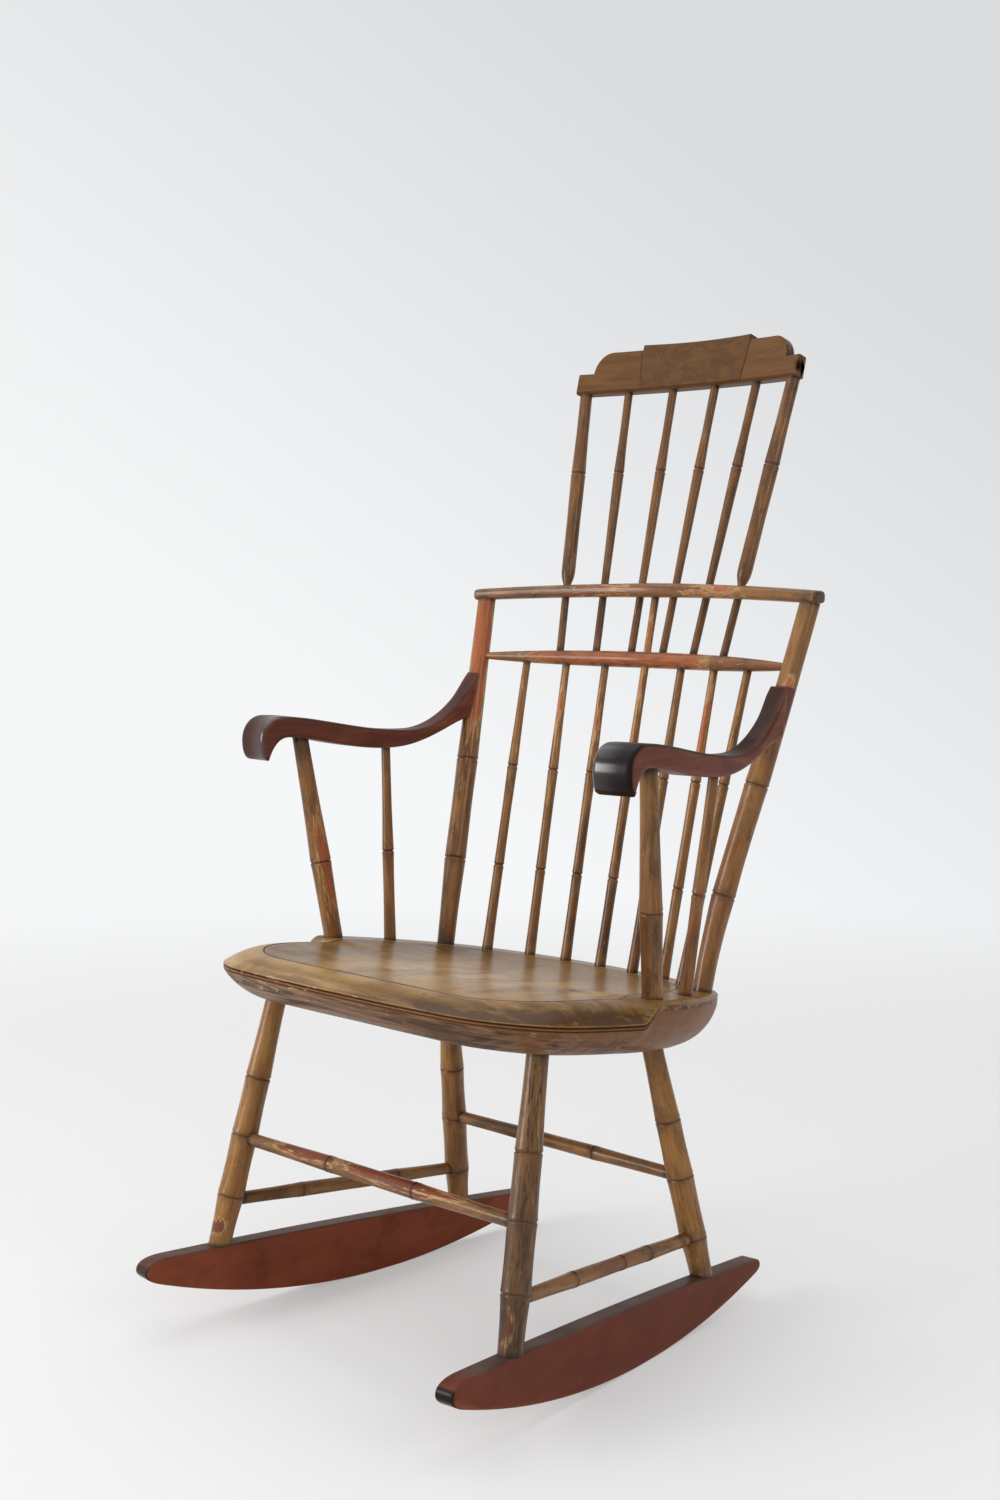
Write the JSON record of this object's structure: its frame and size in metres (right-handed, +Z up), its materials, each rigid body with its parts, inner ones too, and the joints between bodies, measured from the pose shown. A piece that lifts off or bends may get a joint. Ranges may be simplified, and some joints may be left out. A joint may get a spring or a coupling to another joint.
{
  "type": "comb-back rocking chair",
  "caption": "Wooden rocking chair with an open comb back of turned spindles, a dished plank seat with a rolled front, scrolled arms, splayed legs with stretchers and two curved rockers.",
  "frame": {"origin": "centre of the bounding box in plan, on the floor", "axes": "+Z up; the front of the chair faces -Y; +X to the right as seen from the front"},
  "size_m": [0.6016, 0.7154, 1.1501],
  "materials": {
    "seat_paint": "worn olive-brown paint, satin",
    "rocker_paint": "oxblood paint, satin",
    "rail_paint": "worn brown paint, satin",
    "crest_paint": "mottled brown paint, satin",
    "arm_paint": "dark red-brown varnish, semi-gloss",
    "stick_paint": "worn ochre-brown paint, satin"
  },
  "bodies": {
    "root": {"seat": "seat_paint", "rocker_right": "rocker_paint", "rocker_left": "rocker_paint", "upper_rail": "rail_paint", "lower_rail": "rail_paint", "crest": "crest_paint", "arm_right": "arm_paint", "arm_left": "arm_paint", "leg_front_right": "stick_paint", "leg_front_left": "stick_paint", "leg_rear_right": "stick_paint", "leg_rear_left": "stick_paint", "stretcher_front": "stick_paint", "stretcher_rear": "stick_paint", "stretcher_side_right": "stick_paint", "stretcher_side_left": "stick_paint", "back_post_right": "stick_paint", "back_post_left": "stick_paint", "seat_spindle_1": "stick_paint", "seat_spindle_2": "stick_paint", "seat_spindle_3": "stick_paint", "seat_spindle_4": "stick_paint", "seat_spindle_5": "stick_paint", "seat_spindle_6": "stick_paint", "seat_spindle_7": "stick_paint", "comb_post_left": "stick_paint", "comb_spindle_1": "stick_paint", "comb_spindle_2": "stick_paint", "comb_spindle_3": "stick_paint", "comb_spindle_4": "stick_paint", "comb_post_right": "stick_paint", "arm_post_right": "stick_paint", "arm_post_left": "stick_paint", "arm_spindle_right": "stick_paint", "arm_spindle_left": "stick_paint"}
  },
  "joints": []
}
